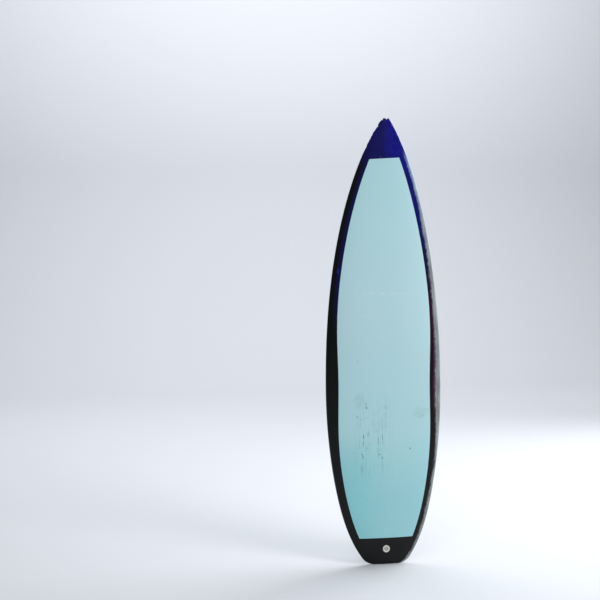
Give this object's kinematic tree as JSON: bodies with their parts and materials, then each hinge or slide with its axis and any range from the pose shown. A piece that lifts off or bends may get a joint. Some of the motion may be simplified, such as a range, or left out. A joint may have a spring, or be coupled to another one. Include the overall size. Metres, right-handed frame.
{
  "type": "shortboard surfboard",
  "caption": "Thruster shortboard standing nose up: foam core in two halves on a wood stringer, dark skin lapped round an aqua deck, leash cup and removable twin-tab fins.",
  "frame": {"origin": "where the stringer meets the tail end on the bottom face, the point the board stands on", "axes": "+Z from the tail toward the nose along the flat length, +Y out of the bottom face where the fins are, -Y out of the deck, +X to the viewer's right when the deck is seen nose up"},
  "size_m": [0.4948, 0.2217, 1.88],
  "materials": {
    "foam": "shaped polyurethane foam",
    "stringer_wood": "plain basswood strip",
    "dark_laminate": "navy to black pigmented glass-cloth laminate, polished",
    "aqua_laminate": "pale aqua glass-cloth laminate, satin",
    "white_plastic": "moulded nylon",
    "stainless": "stainless steel",
    "fin_composite": "solid glass-cloth laminate, foiled and polished"
  },
  "bodies": {
    "board": {"foam_left": "foam", "foam_right": "foam", "stringer": "stringer_wood", "bottom_laminate": "dark_laminate", "deck_inlay": "aqua_laminate", "leash_cup": "white_plastic", "leash_pin": "stainless", "plug_left_front": "white_plastic", "plug_left_rear": "white_plastic", "plug_centre_front": "white_plastic", "plug_centre_rear": "white_plastic", "plug_right_front": "white_plastic", "plug_right_rear": "white_plastic"},
    "fin_left": {"fin_left": "fin_composite"},
    "screw_left_front": {"screw_left_front": "stainless"},
    "screw_left_rear": {"screw_left_rear": "stainless"},
    "fin_centre": {"fin_centre": "fin_composite"},
    "screw_centre_front": {"screw_centre_front": "stainless"},
    "screw_centre_rear": {"screw_centre_rear": "stainless"},
    "fin_right": {"fin_right": "fin_composite"},
    "screw_right_front": {"screw_right_front": "stainless"},
    "screw_right_rear": {"screw_right_rear": "stainless"}
  },
  "joints": [
    {"name": "fin_left_slide", "type": "slide", "parent": "board", "child": "fin_left", "axis": [-0.1044, 0.9915, -0.0778], "range_m": [0, 0.04]},
    {"name": "screw_left_front_slide", "type": "slide", "parent": "board", "child": "screw_left_front", "axis": [0.2416, 0.9658, -0.0938], "range_m": [0, 0.01]},
    {"name": "screw_left_rear_slide", "type": "slide", "parent": "board", "child": "screw_left_rear", "axis": [0.2416, 0.9658, -0.0938], "range_m": [0, 0.01]},
    {"name": "fin_centre_slide", "type": "slide", "parent": "board", "child": "fin_centre", "axis": [0, 0.993, -0.1181], "range_m": [0, 0.04]},
    {"name": "screw_centre_front_slide", "type": "slide", "parent": "board", "child": "screw_centre_front", "axis": [0.342, 0.9331, -0.1109], "range_m": [0, 0.01]},
    {"name": "screw_centre_rear_slide", "type": "slide", "parent": "board", "child": "screw_centre_rear", "axis": [0.342, 0.9331, -0.1109], "range_m": [0, 0.01]},
    {"name": "fin_right_slide", "type": "slide", "parent": "board", "child": "fin_right", "axis": [0.1044, 0.9915, -0.0778], "range_m": [0, 0.04]},
    {"name": "screw_right_front_slide", "type": "slide", "parent": "board", "child": "screw_right_front", "axis": [-0.2416, 0.9658, -0.0938], "range_m": [0, 0.01]},
    {"name": "screw_right_rear_slide", "type": "slide", "parent": "board", "child": "screw_right_rear", "axis": [-0.2416, 0.9658, -0.0938], "range_m": [0, 0.01]}
  ]
}
